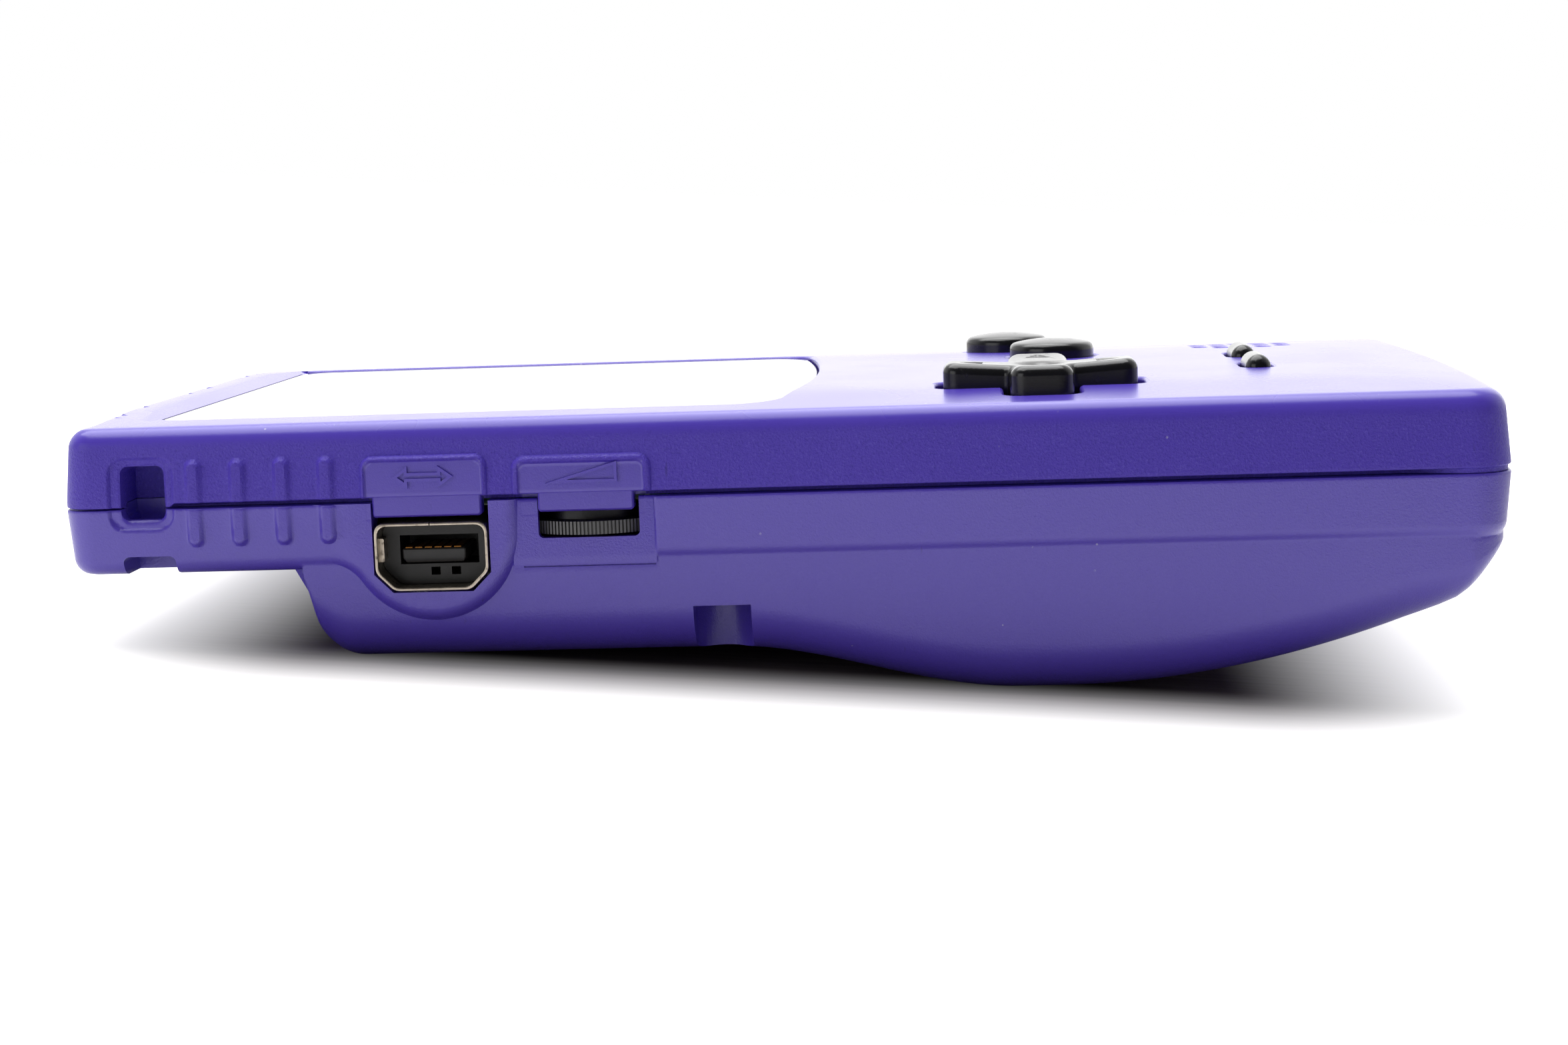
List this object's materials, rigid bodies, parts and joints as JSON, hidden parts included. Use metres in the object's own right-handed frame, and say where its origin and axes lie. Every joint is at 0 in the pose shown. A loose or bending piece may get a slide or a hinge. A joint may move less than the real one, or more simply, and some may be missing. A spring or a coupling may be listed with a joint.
{
  "type": "handheld game console",
  "caption": "Upright handheld game console: square screen above a direction pad and round keys, cartridge slot and battery bulge at the back, link port and thumb wheel in one side.",
  "frame": {"origin": "middle of the body's outline, at the lowest point of the battery bulge", "axes": "+X from the top end to the bottom end, +Y towards the player's right hand, +Z out of the screen"},
  "size_m": [0.1334, 0.078, 0.0297],
  "materials": {
    "case_purple": "satin",
    "key_black": "satin",
    "keypad_rubber": "matte",
    "lens_clear": "gloss",
    "port_metal": "satin",
    "port_plastic": "satin",
    "contact_copper": "satin",
    "steel": "satin",
    "infrared_filter": "gloss",
    "board_green": "satin",
    "chip_black": "matte",
    "capacitor_can": "satin",
    "display_glass": "gloss",
    "foam_black": "matte",
    "ribbon_amber": "satin",
    "connector_ivory": "matte",
    "cone_paper": "matte",
    "lead_red": "matte",
    "led_red": "gloss",
    "cell_sleeve": "satin"
  },
  "bodies": {
    "case": {"front_shell": "case_purple", "rear_shell": "case_purple", "dpad_membrane": "keypad_rubber", "ab_membrane": "keypad_rubber", "start_select_membrane": "keypad_rubber", "screen_lens": "lens_clear", "link_port_shell": "port_metal", "power_switch": "port_metal", "link_port_insert": "port_plastic", "headphone_jack": "port_plastic", "dc_jack": "port_plastic", "volume_pot": "port_plastic", "link_port_contacts": "contact_copper", "cartridge_contacts": "contact_copper", "dc_pin": "steel", "battery_contacts": "steel", "case_screws": "steel", "board_screws": "steel", "crystal": "steel", "speaker_magnet": "steel", "ir_window": "infrared_filter", "ir_parts": "infrared_filter", "main_board": "board_green", "board_chips": "chip_black", "speaker_frame": "chip_black", "board_capacitors": "capacitor_can", "lcd_panel": "display_glass", "lcd_gasket": "foam_black", "lcd_pad": "foam_black", "lcd_ribbon": "ribbon_amber", "ribbon_socket": "connector_ivory", "cartridge_connector": "connector_ivory", "speaker_cone": "cone_paper", "speaker_leads": "lead_red", "power_led": "led_red", "battery_upper": "cell_sleeve", "battery_lower": "cell_sleeve"},
    "domes": {"dpad_domes": "keypad_rubber"},
    "dpad": {"dpad": "key_black"},
    "a_button": {"a_button": "key_black"},
    "b_button": {"b_button": "key_black"},
    "select_button": {"select_button": "key_black"},
    "start_button": {"start_button": "key_black"},
    "volume_wheel": {"volume_wheel": "key_black"},
    "power_knob": {"power_knob": "key_black"},
    "battery_door": {"battery_door": "case_purple"}
  },
  "joints": [
    {"name": "dpad_up_down", "type": "hinge", "parent": "case", "child": "domes", "pos_m": [0.02385, -0.0221, 0.02195], "axis": [0, 1, 0], "range_deg": [-3.2, 3.2], "stiffness_Nm_per_rad": 0.4},
    {"name": "dpad_left_right", "type": "hinge", "parent": "domes", "child": "dpad", "pos_m": [0.02385, -0.0221, 0.02195], "axis": [1, 0, 0], "range_deg": [-3.2, 3.2], "stiffness_Nm_per_rad": 0.4},
    {"name": "a_press", "type": "slide", "parent": "case", "child": "a_button", "axis": [0, 0, -1], "range_m": [0, 0.0012], "stiffness_N_per_m": 900},
    {"name": "b_press", "type": "slide", "parent": "case", "child": "b_button", "axis": [0, 0, -1], "range_m": [0, 0.0012], "stiffness_N_per_m": 900},
    {"name": "select_press", "type": "slide", "parent": "case", "child": "select_button", "axis": [0, 0, -1], "range_m": [0, 0.0008], "stiffness_N_per_m": 900},
    {"name": "start_press", "type": "slide", "parent": "case", "child": "start_button", "axis": [0, 0, -1], "range_m": [0, 0.0008], "stiffness_N_per_m": 900},
    {"name": "volume_turn", "type": "hinge", "parent": "case", "child": "volume_wheel", "pos_m": [-0.01785, -0.0314, 0.0166], "axis": [0, 0, 1], "range_deg": [-135, 135]},
    {"name": "power_slide", "type": "slide", "parent": "case", "child": "power_knob", "axis": [1, 0, 0], "range_m": [0, 0.0032]},
    {"name": "door_swing", "type": "hinge", "parent": "case", "child": "battery_door", "pos_m": [0.0408, 0, 0.00146], "axis": [0, -1, 0], "range_deg": [0, 50]}
  ]
}
